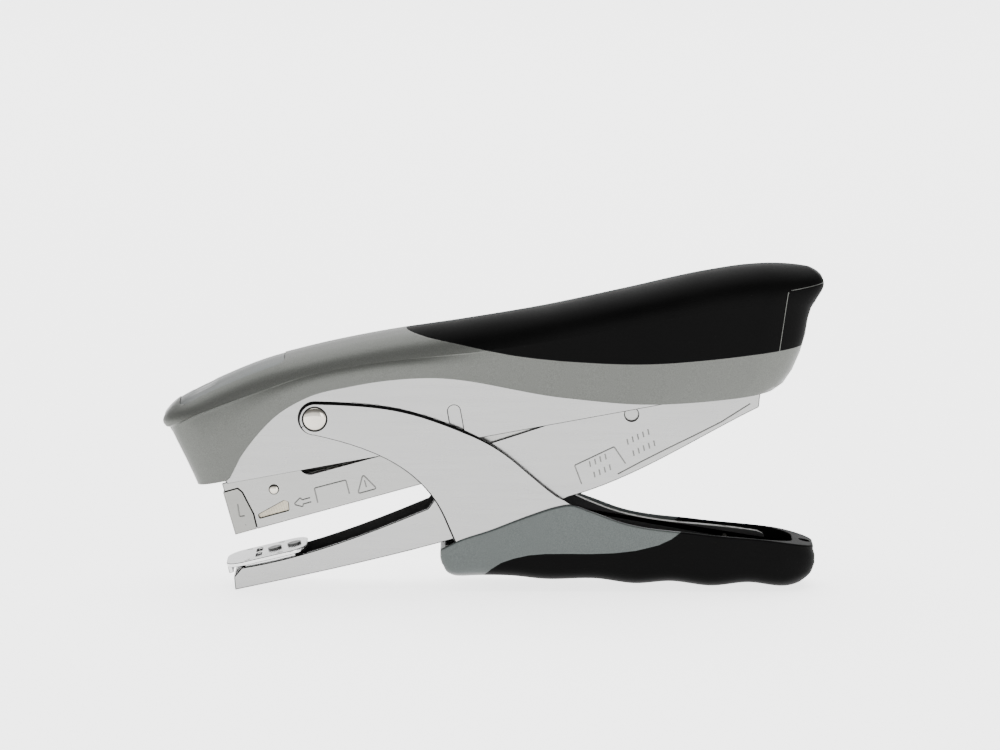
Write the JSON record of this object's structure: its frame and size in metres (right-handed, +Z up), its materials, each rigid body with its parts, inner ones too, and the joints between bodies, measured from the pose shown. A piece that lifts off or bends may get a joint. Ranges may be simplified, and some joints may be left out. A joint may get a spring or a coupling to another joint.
{
  "type": "plier stapler",
  "caption": "Plier-type hand stapler: silver cover and soft black grips on crossed folded-steel levers, with a sliding-follower staple magazine above a riveted anvil.",
  "frame": {"origin": "bottom centre of the whole stapler with the jaws open, standing on the anvil arm's tip and the lower grip", "axes": "+X towards the rear of the grips, the nose is at -X, +Y across the width, +Z up"},
  "size_m": [0.1786, 0.025, 0.0881],
  "materials": {
    "plated_steel": "bright nickel-plated sheet steel with faint rolling marks",
    "magazine_steel": "plated sheet steel, satin",
    "anvil_steel": "bright plated pressed steel",
    "rivet_steel": "polished domed rivet",
    "dark_steel": "dark tempered steel",
    "spring_steel": "drawn spring wire",
    "staple_steel": "glued strip of galvanised wire",
    "silver_cover": "satin silver-grey moulded shell",
    "silver_inlay": "satin silver-grey panel",
    "grey_handle": "satin grey moulded shell",
    "soft_grip": "soft black skin, fine matte texture",
    "follower_plastic": "moulded black slider"
  },
  "bodies": {
    "jaw": {"lower_jaw": "plated_steel", "anvil_plate": "anvil_steel", "anvil_rivets": "rivet_steel", "rear_pivot_rivets": "rivet_steel", "spring_pin": "rivet_steel", "return_spring": "spring_steel"},
    "upper": {"upper_frame": "plated_steel", "top_cover": "silver_cover", "top_inlay": "silver_inlay", "top_grip": "soft_grip", "rear_grip_panel": "soft_grip", "driver_blade": "dark_steel", "hammer_block": "dark_steel", "hammer_rivets": "rivet_steel", "magazine_spring": "spring_steel"},
    "lever": {"lever_plate_left": "plated_steel", "lever_plate_right": "plated_steel", "front_rivet": "rivet_steel", "lever_pivot_studs": "rivet_steel", "handle_shell": "grey_handle", "handle_grip": "soft_grip", "handle_tie_rivets": "rivet_steel"},
    "magazine": {"magazine_case": "magazine_steel", "magazine_front_plate": "magazine_steel", "magazine_pin": "rivet_steel", "staple_rail": "dark_steel", "staple_strip": "staple_steel", "guide_rod": "dark_steel", "magazine_end_cap": "follower_plastic", "follower_spring": "spring_steel"},
    "follower": {"follower": "follower_plastic"}
  },
  "joints": [
    {"name": "squeeze", "type": "hinge", "parent": "jaw", "child": "lever", "pos_m": [-0.009, 0, 0.041], "axis": [0, -1, 0], "range_deg": [0, 18.2], "stiffness_Nm_per_rad": 1, "springref_deg": -28.65, "deforming": ["return_spring"]},
    {"name": "upper_close", "type": "hinge", "parent": "jaw", "child": "upper", "pos_m": [0.063, 0, 0.058], "axis": [0, -1, 0], "range_deg": [0, 6.5], "deforming": ["magazine_spring"]},
    {"name": "magazine_close", "type": "hinge", "parent": "jaw", "child": "magazine", "pos_m": [0.063, 0, 0.058], "axis": [0, -1, 0], "range_deg": [0, 2.9]},
    {"name": "follower_slide", "type": "slide", "parent": "magazine", "child": "follower", "axis": [0.9636, 0, 0.2672], "range_m": [0, 0.045], "stiffness_N_per_m": 60, "springref_m": -0.05, "deforming": ["follower_spring"]}
  ],
  "couplings": [
    {"joint": "upper_close", "follows": "squeeze", "ratio": 0.357},
    {"joint": "magazine_close", "follows": "squeeze", "ratio": 0.159}
  ]
}
